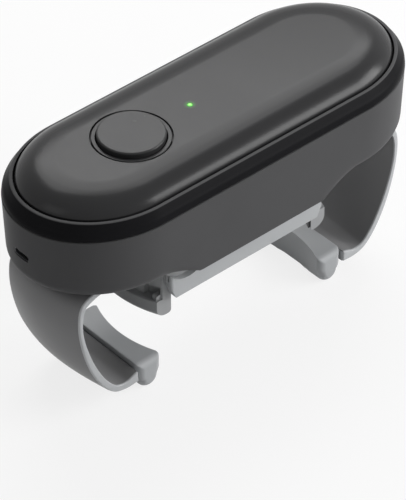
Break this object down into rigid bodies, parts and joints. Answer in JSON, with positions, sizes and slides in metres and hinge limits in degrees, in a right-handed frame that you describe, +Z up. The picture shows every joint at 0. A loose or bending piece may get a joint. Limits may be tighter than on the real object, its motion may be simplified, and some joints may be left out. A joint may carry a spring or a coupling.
{
  "type": "electric jar opener",
  "caption": "Battery jar opener: domed oblong housing with a push button, sliding curved arms that clamp the jar, and a turning rotor whose sliding jaws grip the lid.",
  "frame": {"origin": "on the surface that the pads stand on, under the middle of the housing", "axes": "+Z up, +X along the housing towards the right arm, the push button on the -X half"},
  "size_m": [0.1898, 0.072, 0.1113],
  "materials": {
    "cover_plastic": "satin charcoal moulding",
    "band_plastic": "dark satin moulding",
    "body_plastic": "satin charcoal moulding",
    "button_plastic": "satin charcoal moulding",
    "arm_plastic": "pale grey moulding",
    "skin_plastic": "dark satin skin",
    "pad_rubber": "pale grey soft rubber",
    "rotor_plastic": "pale grey moulding",
    "jaw_plastic": "mid grey moulding",
    "grip_rubber": "dark ribbed rubber",
    "guide_plastic": "dark moulding",
    "gear_plastic": "natural acetal",
    "steel": "plain steel",
    "brass": "turned brass",
    "motor_can": "zinc plated can",
    "lamp_plastic": "clear green light guide",
    "cell_wrap": "shrink wrap",
    "board": "green solder mask",
    "chip": "black epoxy",
    "socket_metal": "nickel plated shell",
    "lead_rubber": "silicone lead",
    "spring_steel": "spring wire"
  },
  "bodies": {
    "housing": {"top_cover": "cover_plastic", "upper_band": "band_plastic", "lower_body": "body_plastic", "guide_plate": "guide_plastic", "button_ring": "cover_plastic", "light_pipe": "lamp_plastic", "button_spring": "spring_steel", "bearing_sleeve": "brass", "thrust_washer": "steel", "idler_axle": "steel", "motor_bracket": "steel", "gearhead": "motor_can", "motor": "motor_can", "battery_cells": "cell_wrap", "battery_tray": "guide_plastic", "circuit_board": "board", "board_parts": "chip", "micro_switch": "chip", "charging_board": "board", "charging_socket": "socket_metal", "inner_leads": "lead_rubber", "case_screws": "steel", "guide_screws": "steel", "inner_screws": "steel"},
    "button": {"button_cap": "button_plastic"},
    "left_arm_unit": {"left_arm": "arm_plastic", "left_arm_skin": "skin_plastic", "left_arm_liner": "skin_plastic", "left_arm_rack": "gear_plastic", "left_jar_pad": "pad_rubber"},
    "right_arm_unit": {"right_arm": "arm_plastic", "right_arm_skin": "skin_plastic", "right_arm_liner": "skin_plastic", "right_arm_rack": "gear_plastic", "right_jar_pad": "pad_rubber"},
    "arm_gear": {"arm_pinion": "gear_plastic"},
    "rotor": {"rotor_frame": "rotor_plastic", "rotor_bridge": "rotor_plastic", "rotor_hub": "steel", "main_gear": "gear_plastic", "hub_clip": "steel", "rotor_screws": "steel"},
    "left_jaw_unit": {"left_lid_jaw": "jaw_plastic", "left_lid_grip": "grip_rubber", "left_jaw_rack": "gear_plastic"},
    "right_jaw_unit": {"right_lid_jaw": "jaw_plastic", "right_lid_grip": "grip_rubber", "right_jaw_rack": "gear_plastic"},
    "jaw_drive": {"jaw_pinion": "steel", "jaw_shaft": "steel", "clutch_disc": "steel"},
    "compound_wheel": {"compound_gear": "gear_plastic"},
    "motor_wheel": {"motor_pinion": "brass"}
  },
  "joints": [
    {"name": "button_press", "type": "slide", "parent": "housing", "child": "button", "axis": [0, 0, -1], "range_m": [0, 0.0015], "stiffness_N_per_m": 900, "springref_m": -0.0008, "deforming": ["button_spring"]},
    {"name": "left_arm_slide", "type": "slide", "parent": "housing", "child": "left_arm_unit", "axis": [1, 0, 0], "range_m": [-0.003, 0.02]},
    {"name": "right_arm_slide", "type": "slide", "parent": "housing", "child": "right_arm_unit", "axis": [-1, 0, 0], "range_m": [-0.003, 0.02]},
    {"name": "arm_gear_turn", "type": "hinge", "parent": "housing", "child": "arm_gear", "pos_m": [0, 0, 0.0639], "axis": [0, 0, 1], "range_deg": [-12.5, 82.5]},
    {"name": "rotor_turn", "type": "hinge", "parent": "housing", "child": "rotor", "pos_m": [0, 0, 0.0569], "axis": [0, 0, 1], "continuous": true},
    {"name": "compound_turn", "type": "hinge", "parent": "housing", "child": "compound_wheel", "pos_m": [0.0248, 0, 0.0739], "axis": [0, 0, 1], "continuous": true},
    {"name": "motor_pinion_turn", "type": "hinge", "parent": "housing", "child": "motor_wheel", "pos_m": [0.0432, 0, 0.0739], "axis": [0, 0, 1], "continuous": true},
    {"name": "left_jaw_slide", "type": "slide", "parent": "rotor", "child": "left_jaw_unit", "axis": [1, 0, 0], "range_m": [-0.003, 0.02]},
    {"name": "right_jaw_slide", "type": "slide", "parent": "rotor", "child": "right_jaw_unit", "axis": [-1, 0, 0], "range_m": [-0.003, 0.02]},
    {"name": "jaw_gear_turn", "type": "hinge", "parent": "rotor", "child": "jaw_drive", "pos_m": [0, 0, 0.0526], "axis": [0, 0, 1], "range_deg": [-21.6, 143.4]}
  ],
  "couplings": [
    {"joint": "right_arm_slide", "follows": "left_arm_slide", "ratio": 1},
    {"joint": "arm_gear_turn", "follows": "left_arm_slide", "rad_per_m": 71.429},
    {"joint": "compound_turn", "follows": "rotor_turn", "ratio": -4.1667},
    {"joint": "motor_pinion_turn", "follows": "rotor_turn", "ratio": 15},
    {"joint": "right_jaw_slide", "follows": "left_jaw_slide", "ratio": 1},
    {"joint": "jaw_gear_turn", "follows": "left_jaw_slide", "rad_per_m": 125}
  ]
}
